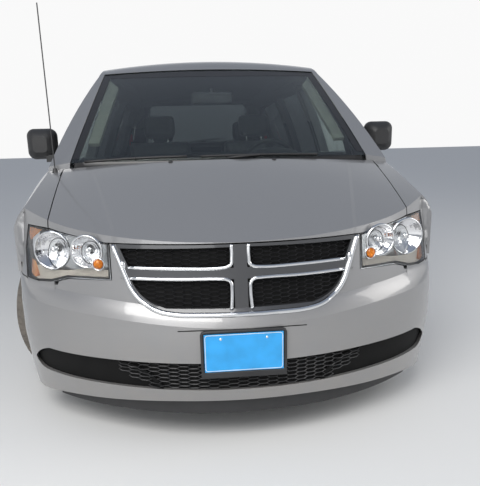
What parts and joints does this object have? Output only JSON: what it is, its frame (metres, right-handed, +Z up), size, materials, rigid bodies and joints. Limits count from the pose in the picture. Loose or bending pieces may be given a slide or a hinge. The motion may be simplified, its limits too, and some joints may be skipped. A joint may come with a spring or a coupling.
{
  "type": "minivan",
  "caption": "Minivan with hinged front doors, sliding rear doors, opening hood and liftgate, steered front wheels and free-rolling wheels.",
  "frame": {"origin": "on the ground, under the middle of the vehicle's bounding box", "axes": "front faces -Y, the driver's (left) side is +X, +Z up"},
  "size_m": [2.247, 5.155, 1.8615],
  "materials": {
    "body_paint": "silver grey metallic clear coat, light road dust",
    "underbody_paint": "dull black sealer over steel",
    "black_plastic": "grained black moulded plastic",
    "chrome": "bright chrome on moulded plastic",
    "clear_glass": "laminated clear glass",
    "tinted_glass": "dark privacy glass",
    "lamp_lens": "clear polycarbonate",
    "lamp_housing": "grey moulded housing with bright reflectors",
    "lamp_red": "red lamp lens",
    "tyre_rubber": "black road tyre",
    "wheel_metal": "silver painted wheel",
    "bare_iron": "cast iron with light rust",
    "engine_metal": "cast aluminium, plain block",
    "seat_fabric": "dark grey woven seat cloth",
    "cabin_plastic": "soft grained dark plastic",
    "tank_plastic": "black blow moulded plastic",
    "exhaust_steel": "stainless steel dulled by heat",
    "plate_blue": "plain blue plate with a pale rim, blank"
  },
  "bodies": {
    "root": {"roof_panel": "body_paint", "body_side_left": "body_paint", "body_side_right": "body_paint", "windscreen": "clear_glass", "side_glass": "tinted_glass", "sliding_door_left": "body_paint", "sliding_door_right": "body_paint", "fender_left": "body_paint", "fender_right": "body_paint", "front_bumper": "body_paint", "lower_grille": "black_plastic", "grille": "chrome", "grille_mesh": "black_plastic", "headlamp_lenses": "lamp_lens", "headlamps": "lamp_housing", "number_plate": "plate_blue", "cowl_and_wipers": "black_plastic", "rear_bumper": "body_paint", "floor_pan": "underbody_paint", "dashboard": "cabin_plastic", "front_seats": "seat_fabric", "rear_seats": "seat_fabric", "engine_block": "engine_metal", "front_subframe": "underbody_paint", "rear_axle": "bare_iron", "fuel_tank": "tank_plastic", "exhaust": "exhaust_steel", "antenna": "black_plastic", "tail_lamps": "lamp_red", "radiator": "black_plastic", "air_dam": "black_plastic", "front_struts": "underbody_paint"},
    "hood": {"hood": "body_paint"},
    "liftgate": {"liftgate": "body_paint", "liftgate_glass": "tinted_glass"},
    "front_door_left": {"front_door_left": "body_paint", "front_door_glass_left": "clear_glass", "mirror_left": "black_plastic"},
    "front_door_right": {"front_door_right": "body_paint", "front_door_glass_right": "clear_glass", "mirror_right": "black_plastic"},
    "knuckle_left": {"knuckle_left": "bare_iron"},
    "knuckle_right": {"knuckle_right": "bare_iron"},
    "steering_wheel": {"steering_wheel": "cabin_plastic"},
    "wheel_front_left": {"tyre_front_left": "tyre_rubber", "wheel_front_left": "wheel_metal"},
    "wheel_front_right": {"tyre_front_right": "tyre_rubber", "wheel_front_right": "wheel_metal"},
    "wheel_rear_left": {"tyre_rear_left": "tyre_rubber", "wheel_rear_left": "wheel_metal"},
    "wheel_rear_right": {"tyre_rear_right": "tyre_rubber", "wheel_rear_right": "wheel_metal"}
  },
  "joints": [
    {"name": "hood_hinge", "type": "hinge", "parent": "root", "child": "hood", "pos_m": [0, -1.6155, 1.112], "axis": [-1, 0, 0], "range_deg": [0, 50]},
    {"name": "liftgate_hinge", "type": "hinge", "parent": "root", "child": "liftgate", "pos_m": [0, 2.3525, 1.678], "axis": [1, 0, 0], "range_deg": [0, 82]},
    {"name": "front_door_left_hinge", "type": "hinge", "parent": "root", "child": "front_door_left", "pos_m": [0.995, -1.1695, 0.65], "axis": [0.0698, 0, -0.9976], "range_deg": [0, 65]},
    {"name": "front_door_right_hinge", "type": "hinge", "parent": "root", "child": "front_door_right", "pos_m": [-0.995, -1.1695, 0.65], "axis": [0.0698, 0, 0.9976], "range_deg": [0, 65]},
    {"name": "steer_left", "type": "hinge", "parent": "root", "child": "knuckle_left", "pos_m": [0.737, -1.6105, 0.215], "axis": [-0.184, 0, 0.9829], "range_deg": [-10, 58]},
    {"name": "steer_right", "type": "hinge", "parent": "root", "child": "knuckle_right", "pos_m": [-0.737, -1.6105, 0.215], "axis": [0.184, 0, 0.9829], "range_deg": [-10, 58]},
    {"name": "wheel_front_left_spin", "type": "hinge", "parent": "knuckle_left", "child": "wheel_front_left", "pos_m": [0.82265, -1.66003, 0.36206], "axis": [0.9165, -0.3998, -0.0156], "continuous": true},
    {"name": "wheel_front_right_spin", "type": "hinge", "parent": "knuckle_right", "child": "wheel_front_right", "pos_m": [-0.82265, -1.56097, 0.36206], "axis": [0.9165, -0.3998, 0.0156], "continuous": true},
    {"name": "wheel_rear_left_spin", "type": "hinge", "parent": "root", "child": "wheel_rear_left", "pos_m": [0.823, 1.4675, 0.362], "axis": [1, 0, 0], "continuous": true},
    {"name": "wheel_rear_right_spin", "type": "hinge", "parent": "root", "child": "wheel_rear_right", "pos_m": [-0.823, 1.4675, 0.362], "axis": [1, 0, 0], "continuous": true},
    {"name": "steering_wheel_turn", "type": "hinge", "parent": "root", "child": "steering_wheel", "pos_m": [0.372, -0.7405, 1.01], "axis": [0, 0.9135, 0.4067], "range_deg": [-160, 928]}
  ],
  "couplings": [
    {"joint": "steer_right", "follows": "steer_left", "ratio": 1},
    {"joint": "steering_wheel_turn", "follows": "steer_left", "ratio": 16}
  ]
}
